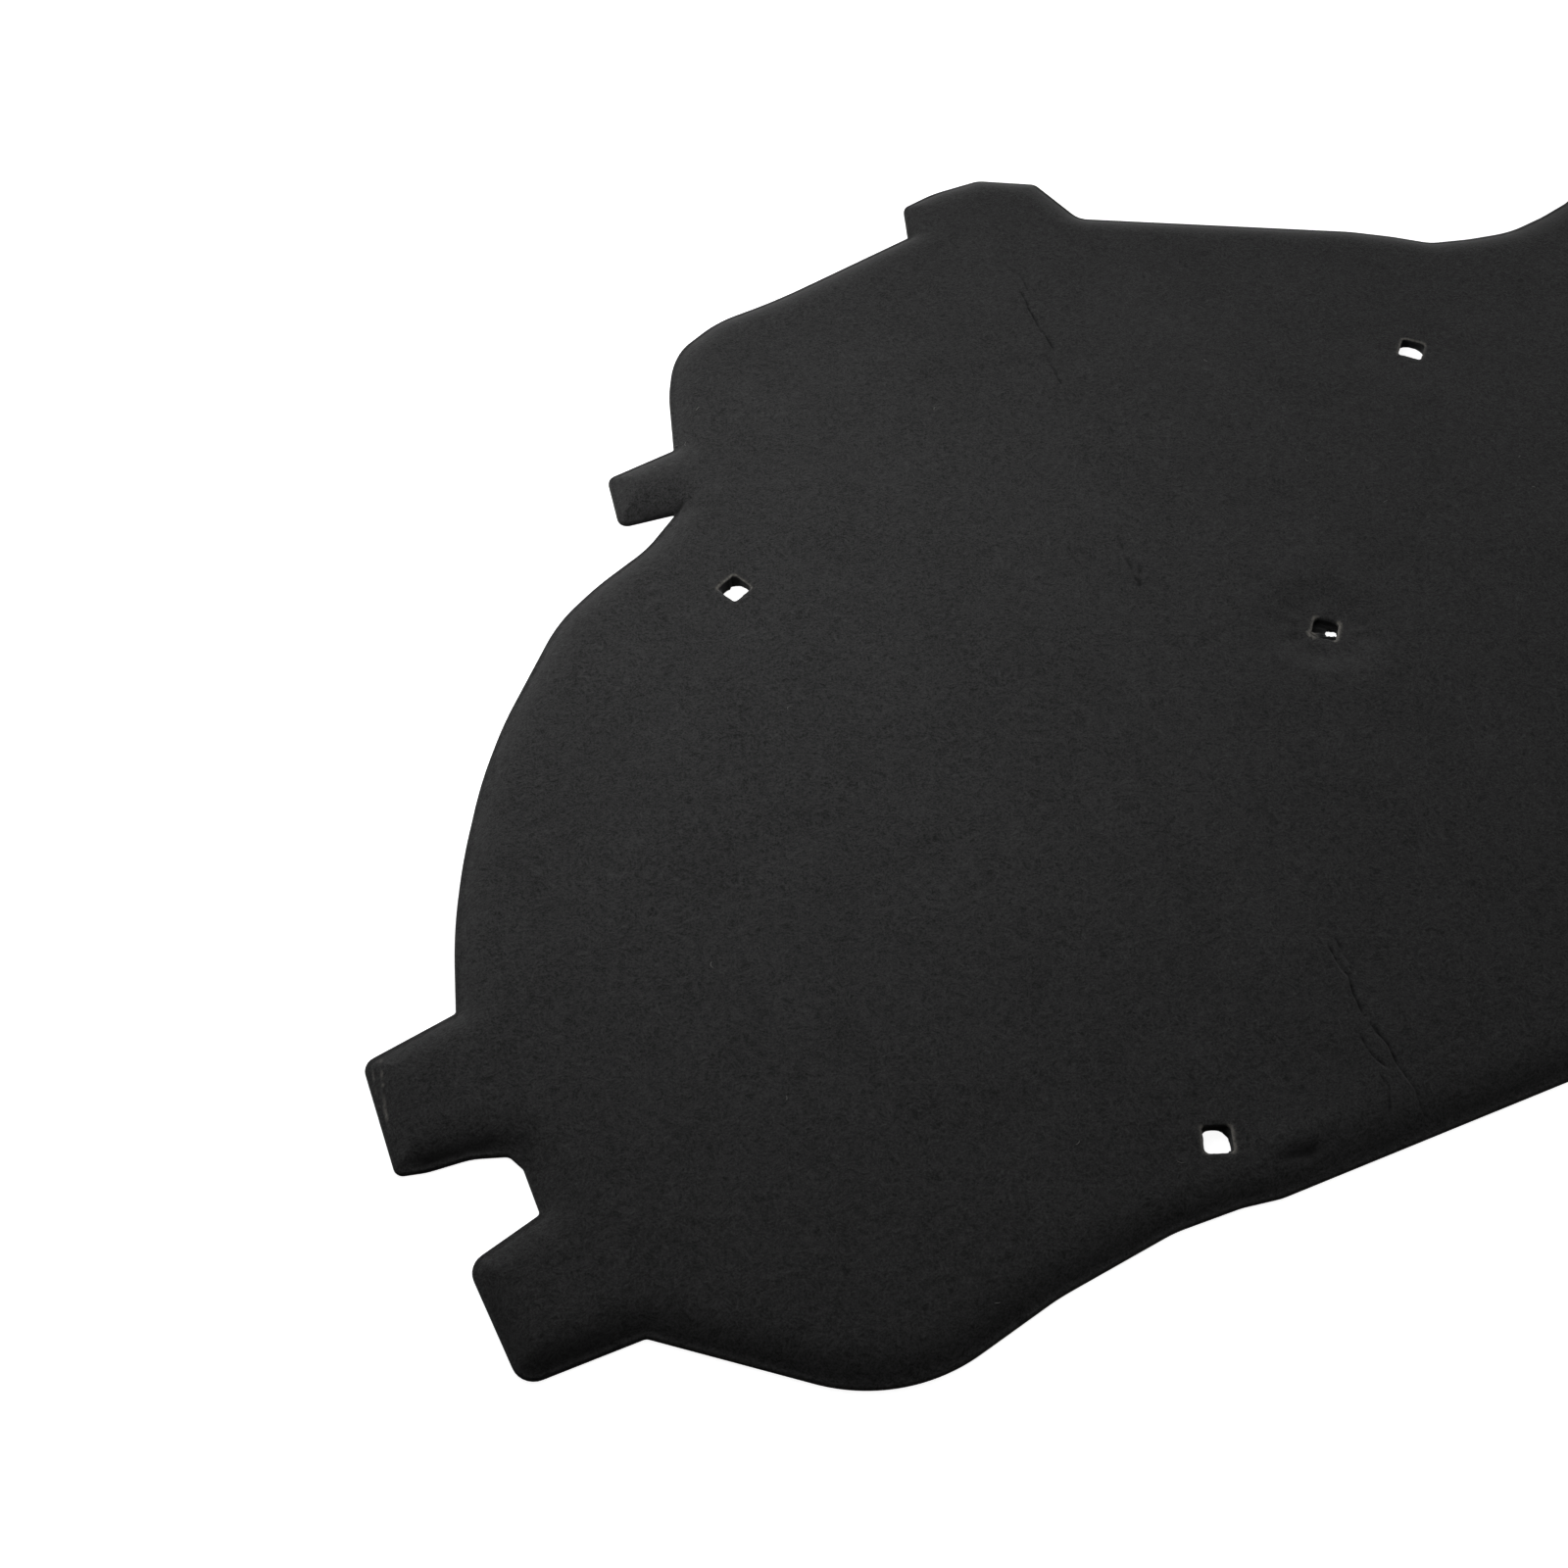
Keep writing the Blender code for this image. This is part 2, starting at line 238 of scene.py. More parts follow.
# Spacing of the points along the edge and the holes, over the face and over the underside
OUTLINE_TURN_STEP = math.radians(6.0)
EDGE_STEP = 0.0026
LIP_TURN_STEP = math.radians(14.0)
FIELD_SPACING = 0.0044
BACK_SPACING = 0.0130
HOLE_STEP = 0.0009
HOLE_TURN_STEP = math.radians(30.0)
RIM_INSETS = np.array(
    [0.0021, 0.0030, 0.0041, 0.0054, 0.0070, 0.0089, 0.0111, 0.0136, 0.0164, 0.0194, 0.0226]
)
SEAT_RADII = np.array(
    [0.0090, 0.0102, 0.0118, 0.0136, 0.0156, 0.0178, 0.0200, 0.0224, 0.0250, 0.0278, 0.0306]
)
RING_STEP = 0.0030
# Room that points keep: between the folds' own, between the others, round the rings, and from the cuts and
# the edge, on the outer face and on the underside
FOLD_ROOM = 0.00042
FACE_ROOM = 0.0013
RING_ROOM = 0.0015
CUT_ROOM, BACK_CUT_ROOM = 0.0014, 0.009
EDGE_ROOM, BACK_EDGE_ROOM = 0.0005, 0.006
CHUNK = 4000

# Edge lip, from the outer face down to the underside: inset from the outline, share of the rim's height
# and how pale the cut fibres are
LIP = [
    (0.0012, 1.00, 0.00), (0.0006, 0.96, 0.10), (0.0002, 0.80, 0.20),
    (0.0000, 0.55, 0.15), (0.0000, 0.22, 0.00), (0.0002, 0.00, 0.00),
]
# Wall of a clip hole, from the seat down: inset from the cut, depth below the seat, and how pale the cut
# fibres are, or below zero how dark the painted shade down in the hole is
HOLE_WALL = [
    (0.0009, 0.0000, 0.20), (0.0003, 0.0002, 0.95), (0.0000, 0.0006, 1.00),
    (0.0001, 0.0011, 0.30), (0.0003, 0.0017, -0.80), (0.0002, 0.0032, -1.00),
]
# Its foot: inset from the cut, height above the underside, and tone, which is painted shade
HOLE_FOOT = [(0.0002, 0.0016, -1.0), (0.0004, 0.0, -0.6)]

# Specks of lint seen on the real felt, and how many more are scattered
LINT_PLACES = [
    (-0.4235, -0.2583), (-0.5130, -0.2819), (-0.0930, 0.0065), (-0.2015, 0.1223), (-0.4563, -0.2359),
    (-0.5579, -0.1084), (-0.0982, -0.0136), (-0.4947, 0.1609), (-0.4867, 0.1674), (-0.4673, 0.1743),
    (-0.4625, 0.1709), (-0.4495, 0.1886), (-0.4826, 0.1608),
]
LINT_SCATTER = 16
LINT_MARGIN = 0.06
LINT_CUT_ROOM = 0.02
LINT_RADIUS = 0.00011
LINT_LENGTH = (0.0016, 0.0034)
LINT_POINTS = 7
LINT_SIDES = 5

# Fibres of the felt in each direction: degrees, length, width, and a shift that sets the layers apart
FIBRES = [
    (18.0, 0.0052, 0.0011, 0.31), (74.0, 0.0046, 0.0010, 1.70),
    (128.0, 0.0050, 0.0011, 2.90), (163.0, 0.0058, 0.0012, 4.30),
]
FIBRE_SWAY = 0.012
# Scales of the felt's noises, in cells per metre
SWAY_SCALE = 70.0
MOTTLE_SCALE = 42.0
BLOTCH_SCALE = 11.0
FUZZ_SCALE = 1300.0
FRAY_SCALE = 900.0
LINT_SCALE = 700.0

# The studio: a level disc that curves up into a wall
FLOOR_RADIUS = 6.0
FLOOR_DROP = 0.0001
WALL_DEPTH = 4.0
WALL_HEIGHT = 6.0
STUDIO_STEPS = 17
STUDIO_SIDES = 72
SENSOR_WIDTH = 36.0
# The soft lamps: name, place, aim and size
LAMPS = [
    ("key", (-0.53, 0.14, 0.34), (-0.43, 0.04, 0.0), (0.5, 0.5)),
    ("fill", (0.67, 0.15, 0.68), (-0.40, 0.00, 0.0), (1.0, 0.8)),
    ("right", (0.52, 0.00, 0.40), (0.52, 0.00, 0.0), (0.8, 0.5)),
    ("rim", (-1.00, 1.25, 0.25), (-0.50, 0.05, 0.0), (1.0, 0.3)),
]


def amount_prop(name, description, default, **options):
    return FloatProperty(name=name, description=description, default=default, **options)


def length_prop(name, description, default):
    return amount_prop(name, description, default, unit="LENGTH")


def colour_prop(name, description, default):
    return FloatVectorProperty(
        name=name, description=description, default=default, subtype="COLOR", size=3, min=0.0, max=1.0
    )


class PadShape(bpy.types.PropertyGroup):
    """Sizes of the moulded pad."""

    thickness: length_prop("Thickness", "Height of the level field", CAD_BOX[1].z)
    rim_thickness: length_prop("Rim thickness", "Height of the pressed rim", 0.0030)
    rim_width: length_prop("Rim width", "Width of the flat rim", 0.0020)
    roll_width: length_prop("Roll width", "Width of the rounded roll beside the rim", 0.0180)
    hole_side: length_prop("Clip hole", "Side of the square clip holes", 0.0115)
    seat_radius: length_prop("Seat radius", "Radius of the pressed seat round a hole", 0.0140)
    seat_slope: length_prop("Seat slope", "Width of the slope round a seat", 0.0180)
    seat_thickness: length_prop("Seat thickness", "Height of a clip seat", 0.0086)
    middle_seat_thickness: length_prop("Middle seat thickness", "Height of the deeper middle seats", 0.0066)
    wear: amount_prop("Folds and dents", "Strength of the folds, dents and wrinkles", 1.0, min=0.0, max=3.0)


class FeltLook(bpy.types.PropertyGroup):
    """Colours and fibre height of the needled felt."""

    dark: colour_prop("Dark fibres", "Colour between the fibres", (0.0072, 0.0072, 0.0073))
    light: colour_prop("Light fibres", "Colour of the topmost fibres", (0.0500, 0.0500, 0.0505))
    cut: colour_prop("Cut fibres", "Colour of the felt where it is cut", (0.175, 0.166, 0.150))
    # Painted shade: the colour that creases, lower hole walls, the torn ledge and shaded edges are darkened
    # towards
    painted_shade_colour: colour_prop("Creases", "Colour deep in the creases and holes", (0.0028, 0.0028, 0.0030))
    lint: colour_prop("Lint", "Colour of the lint", (0.24, 0.235, 0.225))
    relief: length_prop("Fibre relief", "Height of the fibres", 0.00020)


class StudioLook(bpy.types.PropertyGroup):
    """Camera, lights and floor."""

    camera_place: FloatVectorProperty(
        name="Camera place", description="Where the camera stands", default=(-0.69653, -0.51925, 0.755),
        subtype="TRANSLATION", size=3,
    )
    camera_turn: amount_prop("Camera turn", "Heading, in degrees from +Y", -22.5)
    camera_tilt: amount_prop("Camera tilt", "Degrees that the camera looks down", 55.0)
    lens: amount_prop("Lens", "Focal length in millimetres", 48.4)
    key_power: amount_prop("Key light", "Watts of the soft lamp close above the left half", 1.45)
    fill_power: amount_prop("Fill light", "Watts of the soft lamp high at the right", 1.15)
    right_power: amount_prop("Right light", "Watts of the soft lamp above the right half", 0.95)
    rim_power: amount_prop("Rim light", "Watts of the low lamp beyond the front edge", 3.0)
    sky_strength: amount_prop("Sky", "Strength of the sky overhead", 0.06)
    floor_glow: amount_prop("Floor glow", "Light given off by the white floor", 0.92)


class Shade:
    """A socket of a node tree, with Python's operators for the maths on it."""

    def __init__(self, tree, socket):
        self.tree, self.socket = tree, socket

    def node(self, kind, settings=None, out=0, **values):
        """Adds a node, sets it up, feeds its inputs by name or number and wraps one output."""
        return Shade(self.tree, add_node(self.tree, kind, settings, **values).outputs[out])

    def maths(self, operation, *values):
        inputs = {f"in_{k}": value for k, value in enumerate(values)}
        return self.node("ShaderNodeMath", {"operation": operation}, **inputs)

    def mixed(self, first, second):
        """The colour that lies this far from the first to the second."""
        return self.node("ShaderNodeMix", {"data_type": "RGBA"}, 2, in_0=self, in_6=first, in_7=second)

    def __add__(self, other):
        return self.maths("ADD", self, other)

    __radd__ = __add__

    def __sub__(self, other):
        return self.maths("SUBTRACT", self, other)

    def __rsub__(self, other):
        return self.maths("SUBTRACT", other, self)

    def __mul__(self, other):
        return self.maths("MULTIPLY", self, other)

    __rmul__ = __mul__

    def clamped(self):
        return self.maths("MINIMUM", self.maths("MAXIMUM", self, 0.0), 1.0)

    def size(self):
        return self.maths("ABSOLUTE", self)

    def highest(self, other):
        return self.maths("MAXIMUM", self, other)


def feed(node, **values):
    """Feeds a node's sockets, which are named with _ for a space, or in_N for number N.

    A Shade is linked. Anything else becomes the socket's own value, and a colour's alpha is 1.
    """
    for name, value in values.items():
        socket = node.inputs[int(name[3:]) if name.startswith("in_") else name.replace("_", " ")]
        if isinstance(value, Shade):
            value.tree.links.new(value.socket, socket)
        else:
            socket.default_value = (*value, 1.0) if socket.type == "RGBA" else value
    return node


def add_node(tree, kind, settings=None, **values):
    """One node: its settings first, then its sockets."""
    node = tree.nodes.new(kind)
    for name, value in (settings or {}).items():
        setattr(node, name, value)
    return feed(node, **values)


def source(tree, kind, output, settings=None):
    """An output of a new node that needs no inputs."""
    return Shade(tree, add_node(tree, kind, settings).outputs[output])


def blank_material(name):
    """A node material with only a Principled shader and its output."""
    material = bpy.data.materials.new(name)
    material.use_nodes = True
    tree = material.node_tree
    return material, tree, tree.nodes["Principled BSDF"]


def left_corners():
    """The left half's outline corners in the pad's own frame, from the notch to the rear edge."""
    corners = [(x, FRONT_LINE + y, r) for x, y, r in NOTCH_CORNERS + FRONT_TAB_CORNERS]
    corners += [(SIDE_LINE + x, FRONT_LINE + y, r) for x, y, r in SHOULDER_CORNERS]
    return corners + [(SIDE_LINE + x, REAR_LINE + y, r) for x, y, r in SIDE_CORNERS]


def whole_outline():
    """Corners of the whole outline, anticlockwise: the left half, then its mirror image."""
    left = left_corners()
    return np.array(left + [(-x, y, r) for x, y, r in reversed(left[1:])])


def unit(vectors):
    return vectors / np.linalg.norm(vectors, axis=-1, keepdims=True)


def left_of(vectors):
    """The vectors turned a quarter to the left."""
    return np.stack([-vectors[..., 1], vectors[..., 0]], axis=-1)


def way(angle):
    """Unit vectors that point at these angles."""
    return np.stack([np.cos(angle), np.sin(angle)], axis=-1)


def away(points, centre):
    """Each point's distance from a centre."""
    return np.hypot(points[:, 0] - centre[0], points[:, 1] - centre[1])


def stretches(line, closed):
    """Where each straight stretch of a line starts, and how it runs from there."""
    start = line if closed else line[:-1]
    return start, (np.roll(line, -1, axis=0) if closed else line[1:]) - start


def numbered(count):
    """For groups of so many points: which group each point is in, and its number there from 0."""
    which = np.repeat(np.arange(len(count)), count)
    return which, np.arange(len(which)) - (np.cumsum(count) - count)[which]


def rounded(corners, step, turn_step):
    """Points of a closed line whose corners are arcs.

    An arc's centre lies on the corner's bisector, its radius over the sine of half the corner away, and
    its points are centre + radius (cos a, sin a) with a running evenly from one tangent to the next.
    """
    place, radius = corners[:, :2], corners[:, 2]
    back, ahead = np.roll(place, 1, axis=0) - place, np.roll(place, -1, axis=0) - place
    half = np.arccos(np.clip((unit(back) * unit(ahead)).sum(1), -1.0, 1.0)) / 2
    lengths = np.linalg.norm(back, axis=1), np.linalg.norm(ahead, axis=1)
    reach = np.minimum(radius / np.tan(half), ARC_SHARE * np.minimum(*lengths))
    radius = reach * np.tan(half)
    centre = place + unit(unit(back) + unit(ahead)) * (radius / np.sin(half))[:, None]
    start = place + unit(back) * reach[:, None] - centre
    end = place + unit(ahead) * reach[:, None] - centre
    first = np.arctan2(start[:, 1], start[:, 0])
    sweep = (np.arctan2(end[:, 1], end[:, 0]) - first + math.pi) % (2 * math.pi) - math.pi
    steps = np.maximum(abs(sweep) * radius / step, abs(sweep) / turn_step)
    steps = np.maximum(2, np.ceil(steps)).astype(int)
    which, number = numbered(steps + 1)
    angle = first[which] + sweep[which] * (number / steps[which])
    return centre[which] + radius[which, None] * way(angle)


def filled(points, step, closed=True):
    """The same line with points added evenly, so that no stretch is longer than step."""
    start, run = stretches(points, closed)
    count = np.maximum(1, np.ceil(np.linalg.norm(run, axis=1) / step)).astype(int)
    which, number = numbered(count)
    result = start[which] + (number / count[which])[:, None] * run[which]
    return result if closed else np.concatenate([result, points[-1:]])


def into_felt(line):
    """Unit vectors square to a closed line, to its left, where the felt is: the mean of both stretches."""
    ahead = unit(np.roll(line, -1, axis=0) - line)
    back = unit(line - np.roll(line, 1, axis=0))
    return left_of(unit(ahead + back))


def sideways(path):
    """Unit vectors square to an open path, to its left."""
    return left_of(unit(np.gradient(path, axis=0)))


def chunks(points):
    """Slices that cover the points, some thousands at a time, to save memory."""
    return [slice(low, low + CHUNK) for low in range(0, len(points), CHUNK)]


def nearest(points, line, closed=True):
    """For each point: its distance to a line, and the share of the line's length there."""
    start, run = stretches(line, closed)
    length = np.linalg.norm(run, axis=1)
    along = np.concatenate([[0.0], np.cumsum(length)])
    distance, share = np.empty(len(points)), np.empty(len(points))
    for some in chunks(points):
        offset = points[some, None, :] - start[None]
        part = np.clip((offset * run).sum(2) / (length * length), 0.0, 1.0)
        gap = offset - part[:, :, None] * run
        squared = (gap * gap).sum(2)
        best = squared.argmin(1)
        row = np.arange(len(best))
        distance[some] = np.sqrt(squared[row, best])
        share[some] = (along[best] + part[row, best] * length[best]) / along[-1]
    return distance, share


def inset(points, line):
    """How far each point lies inside the closed line, below zero outside it.

    The distance is that to the nearest stretch. The sign comes from counting the stretches that a ray
    to the right of the point crosses.
    """
    distance = nearest(points, line)[0]
    _, run = stretches(line, True)
    inside = np.empty(len(points), bool)
    for some in chunks(points):
        offset = points[some, None, :] - line[None]
        straddles = (offset[:, :, 1] < 0.0) != (offset[:, :, 1] < run[:, 1])
        rising = np.where(run[:, 1] == 0.0, 1.0, run[:, 1])
        beside = offset[:, :, 0] < run[:, 0] * offset[:, :, 1] / rising
        inside[some] = (straddles & beside).sum(1) % 2 == 1
    return np.where(inside, distance, -distance)


def smooth(share):
    """An S-curve from 0 to 1: 3 s^2 - 2 s^3."""
    share = np.clip(share, 0.0, 1.0)
    return share * share * (3.0 - 2.0 * share)


def soft_noise(points, cell, seed):
    """Smooth noise from -1 to 1: random heights on a square lattice, blended by S-curves between them."""
    lattice = np.random.default_rng(seed).uniform(-1.0, 1.0, (NOISE_CELLS, NOISE_CELLS))
    where = points / cell + NOISE_CELLS / 2
    low = np.floor(where).astype(int)
    share = smooth(where - low)
    i, j = low[:, 0] % NOISE_CELLS, low[:, 1] % NOISE_CELLS
    k, m = (i + 1) % NOISE_CELLS, (j + 1) % NOISE_CELLS
    near = lattice[i, j] + (lattice[k, j] - lattice[i, j]) * share[:, 0]
    far = lattice[i, m] + (lattice[k, m] - lattice[i, m]) * share[:, 0]
    return near + (far - near) * share[:, 1]


def about(points, path, reach):
    """Which points lie in the path's box, widened by reach."""
    return np.all((points > path.min(0) - reach) & (points < path.max(0) + reach), axis=1)


def worn_side(points):
    """1 over the left half, which has the wear, and 0 from a little past the centreline."""
    return smooth((0.02 - points[:, 0]) / 0.06)


def turned(points, centre, degrees):
    """Points seen from a centre, in axes that are turned by so many degrees."""
    angle = math.radians(degrees)
    offset = points - np.array(centre)
    along = offset[:, 0] * math.cos(angle) + offset[:, 1] * math.sin(angle)
    across = -offset[:, 0] * math.sin(angle) + offset[:, 1] * math.cos(angle)
    return along, across


Hole = namedtuple("Hole", "name centre turn side seat sides")


def clip_holes(shape):
    """Every clip hole: the left half's, then their mirror images, with plain sides."""
    side = shape.hole_side
    left = [Hole(*known, side, getattr(shape, seat), sides) for *known, seat, sides in CLIP_HOLES]
    right = [Hole("plain", (-x, y), -turn, side, seat, PLAIN_SIDES) for _, (x, y), turn, _, seat, _ in left]
    return left + right


def line_paths():
    """Each fold or pressed line as a fine open path.

    Its points are the line's own, filled in evenly, and moved sideways by the waver times smooth noise.
    """
    paths = {}
    for seed, (name, (_, _, waver, _, places)) in enumerate(LINES.items()):
        path = filled(np.array(places), LINE_STEP, closed=False)
        along = np.arange(len(path))[:, None] * LINE_STEP * [1.0, 0.0]
        sway = soft_noise(along, LINE_SWAY_CELL, 40 + seed) * 0.7
        sway += soft_noise(along, LINE_FINE_SWAY_CELL, 80 + seed) * 0.3
        paths[name] = path + sideways(path) * (sway * waver)[:, None]
    return paths


def line_marks(points, paths):
    """Height and tone that the fold lines add.

    The height is a bell-shaped groove with a low bell-shaped lip on either side, or a bell-shaped ridge.
    It fades at both ends of its path and comes and goes along it with smooth noise. The tone follows the
    bell: painted shade, dark in a groove, and painted highlight, pale on a ridge. Finer noise breaks it
    into dots, except on a wide line.
    """
    relief, tone = np.zeros(len(points)), np.zeros(len(points))
    for seed, (name, (depth, half_width, _, fade, _)) in enumerate(LINES.items()):
        path = paths[name]
        near = about(points, path, half_width * LINE_REACH)
        if not near.any():
            continue
        distance, share = nearest(points[near], path, closed=False)
        along = np.stack([share * len(path) * LINE_STEP, 0.0 * share], axis=1)
        strength = smooth(share / fade) * smooth((1.0 - share) / fade)
        dots = np.clip(0.60 + 1.10 * soft_noise(along, LINE_DOTS_CELL, 160 + seed), 0.0, 1.0)
        if half_width > WIDE_LINE:
            dots = WIDE_TONE
        elif depth < 0.0:
            dots = dots * dots
        if depth > 0.0:
            strength = strength * (0.85 + 0.25 * soft_noise(along, LINE_STRENGTH_CELL, 120 + seed))
        groove = np.exp(-((distance / half_width) ** 2))
        from_lip = (distance - LINE_LIP_PLACE * half_width) / (LINE_LIP_WIDTH * half_width)
        lip = LINE_LIP * np.exp(-(from_lip**2)) if depth > 0.0 else 0.0
        relief[near] -= depth * strength * (groove - lip)
        # Painted shade along a groove, painted highlight along a ridge
        tone[near] -= np.clip(depth / FULL_TONE_DEPTH, -1.0, 1.0) * strength * dots * groove
    return relief, np.clip(tone, -1.0, 1.0)


def bells(points, forms):
    """The sum of soft forms, each a bell over an ellipse: its height or tone times exp(-a^2 - b^2)."""
    total = np.zeros(len(points))
    for x, y, half_length, half_width, turn, height in forms:
        along, across = turned(points, (x, y), turn)
        total += height * np.exp(-((along / half_length) ** 2) - (across / half_width) ** 2)
    return total


def painted_fold_and_edge_shading(points, paths):
    """Painted shade and painted highlight of the folds, and painted shade of the pressed edges, from -1 to 1.
    """
    return np.clip(line_marks(points, paths)[1] + bells(points, PAINTED_EDGE_SHADE), -1.0, 1.0)


def wrinkle_relief(points):
    """Height of the wrinkles round the torn hole: a wave round it, strongest in a ring."""
    offset = points - np.array(MIDDLE_PLACE)
    distance, angle = np.hypot(offset[:, 0], offset[:, 1]), np.arctan2(offset[:, 1], offset[:, 0])
    wave = np.sin(WRINKLE_COUNT * angle + 1.6 * np.sin(2.0 * angle + 0.7))
    middle, spread = WRINKLE_RING
    start, rise = WRINKLE_START
    ring = np.exp(-(((distance - middle) / spread) ** 2)) * smooth((distance - start) / rise)
    return WRINKLE_HEIGHT * wave * ring


def outer_height(points, shape, outline, paths):
    """Height of the outer face over a place.

    It is the rim's height, plus a roll up to the full thickness with the distance from the edge, which is
    1 - (1 - s)^ROLL_POWER over the roll's width, cut down to the pressed seats round the holes.
    Unevenness, dents, folds and wrinkles are added where the felt is thick, so that the rim stays flat.
    """
    inside = inset(points, outline)
    left_of_roll = 1.0 - np.clip((inside - shape.rim_width) / shape.roll_width, 0.0, 1.0)
    roll = 1.0 - left_of_roll**ROLL_POWER
    height = shape.rim_thickness + (shape.thickness - shape.rim_thickness) * roll
    for hole in clip_holes(shape):
        slope = smooth((away(points, hole.centre) - shape.seat_radius) / shape.seat_slope)
        height = np.minimum(height, hole.seat + (shape.thickness - hole.seat) * slope)
    loose = smooth(inside / (shape.rim_width + shape.roll_width))
    for seed, (cell, size) in enumerate(UNEVENNESS):
        height += loose * size * soft_noise(points, cell, 7 + seed)
    worn = bells(points, SOFT_FORMS) * smooth(inside / 0.010) + line_marks(points, paths)[0]
    return height + shape.wear * worn_side(points) * (worn + wrinkle_relief(points))


def hexagonal(low, high, spacing):
    """A triangular lattice over a box: rows half a step out of line, 0.866 of a step apart."""
    across = np.arange(low[0], high[0], spacing)
    up = np.arange(low[1], high[1], spacing * math.sqrt(0.75))
    x, y = np.meshgrid(across, up)
    x[1::2] += spacing / 2
    return np.stack([x.ravel(), y.ravel()], axis=1)


def one_per_cell(points, cell):
    """The first point in each small square cell, in the order given."""
    _, first = np.unique(np.floor(points / cell).astype(int), axis=0, return_index=True)
    return points[np.sort(first)]


def hole_outline(hole):
    """A square cut with tight corners, clockwise, as a hole in a sheet is drawn."""
    square = np.array([(-1.0, 1.0), (1.0, 1.0), (1.0, -1.0), (-1.0, -1.0)]) * hole.side / 2
    corners = np.concatenate([square, np.full((4, 1), HOLE_CORNER_RADIUS)], axis=1)
    line = filled(rounded(corners, HOLE_STEP, HOLE_TURN_STEP), HOLE_STEP)
    angle = math.radians(hole.turn)
    spin = np.array([(math.cos(angle), math.sin(angle)), (-math.sin(angle), math.cos(angle))])
    return line @ spin + hole.centre


def edge_rings(line, outline):
    """Points in rings inside the edge: the outline moved inwards, without what nears another stretch."""
    rings = []
    inwards = into_felt(line)
    for distance in RIM_INSETS:
        moved = line + inwards * distance
        moved = moved[inset(moved, outline) > 0.98 * distance]
        rings.append(one_per_cell(moved, RING_STEP * 0.6))
    return np.concatenate(rings)


def seat_rings(shape):
    """Rings of points round each clip hole, at even steps along each circle."""
    rings = []
    for hole in clip_holes(shape):
        for radius in SEAT_RADII:
            count = int(2 * math.pi * radius / (RING_STEP * 0.75))
            angle = np.linspace(0.0, 2 * math.pi, count, endpoint=False) + 40.0 * radius
            rings.append(hole.centre + radius * way(angle))
    return np.concatenate(rings)


def line_rows(paths):
    """Rows of points along each fold line, at offsets to both sides that are shares of its half width."""
    rows = []
    for name, path in paths.items():
        offsets = LINE_OFFSETS[:, None, None] * LINES[name][1]
        rows.append((path[None] + sideways(path)[None] * offsets).reshape(-1, 2))
    return one_per_cell(np.concatenate(rows), FOLD_ROOM)


def clear_of(points, outline, edge, shape, room):
    """The points that lie at least edge inside the outline and room away from every hole's cut."""
    points = points[inset(points, outline) > edge]
    for hole in clip_holes(shape):
        along, across = turned(points, hole.centre, hole.turn)
        points = points[np.maximum(abs(along), abs(across)) > hole.side / 2 + room]
    return points


def face_points(shape, outline, line, paths):
    """Points of the outer face between its edge and its holes, close together where the shape bends."""
    folds = line_rows(paths)
    rings = np.concatenate([seat_rings(shape), edge_rings(line, outline)])
    field = hexagonal(outline.min(0), outline.max(0), FIELD_SPACING)
    field = field[inset(field, outline) > RIM_INSETS[-1] + RING_ROOM]
    for hole in clip_holes(shape):
        field = field[away(field, hole.centre) > SEAT_RADII[-1] + RING_ROOM]
    others = one_per_cell(np.concatenate([rings, field]), FACE_ROOM)
    for name, path in paths.items():
        reach = LINES[name][1] * LINE_CLEAR
        near = about(others, path, reach)
        close = np.zeros(len(others), bool)
        close[near] = nearest(others[near], path, closed=False)[0] < reach
        others = others[~close]
    return clear_of(np.concatenate([folds, others]), outline, LIP[0][0] + EDGE_ROOM, shape, CUT_ROOM)


def sheet(loops, loose):
    """Triangles between closed loops, the outer one first, with corners at the loose points too."""
    points = np.concatenate(loops + [loose])
    counts = np.cumsum([0] + [len(loop) for loop in loops])
    faces = [list(range(low, high)) for low, high in zip(counts[:-1], counts[1:])]
    made = delaunay_2d_cdt([Vector(p) for p in points.tolist()], [], faces, 2, 1e-7)
    if len(made[0]) != len(points):
        raise RuntimeError("the outer face's points fell on each other: widen the clearances")
    corners = np.array(made[2])
    a, b, c = points[corners[:, 0]], points[corners[:, 1]], points[corners[:, 2]]
    area = (b[:, 0] - a[:, 0]) * (c[:, 1] - a[:, 1]) - (b[:, 1] - a[:, 1]) * (c[:, 0] - a[:, 0])
    corners[area < 0.0] = corners[area < 0.0][:, ::-1]
    return points, corners


class Skin:
    """A mesh put together from blocks of points and faces, with one number for each point."""

    def __init__(self):
        self.places, self.tone, self.faces, self.count = [], [], [], 0

    def add(self, points, heights, tone=0.0):
        """Adds a block of points and returns their numbers."""
        heights = np.broadcast_to(heights, len(points))
        self.places.append(np.column_stack([points, heights]))
        self.tone.append(np.broadcast_to(tone, len(points)).astype(np.float32))
        self.count += len(points)
        return np.arange(self.count - len(points), self.count)

    def strip(self, upper, lower):
        """Quads between two closed rows, facing away from the felt, which is to the left of both."""
        quads = np.stack([lower, np.roll(lower, -1), np.roll(upper, -1), upper], axis=1)
        self.faces += quads.tolist()

    def mesh(self, name):
        mesh = bpy.data.meshes.new(name)
        mesh.from_pydata(np.concatenate(self.places).tolist(), [], self.faces)
        layer = mesh.attributes.new("tone", "FLOAT", "POINT")
        layer.data.foreach_set("value", np.concatenate(self.tone))
        mesh.shade_smooth()
        mesh.validate()
        mesh.update()
        return mesh


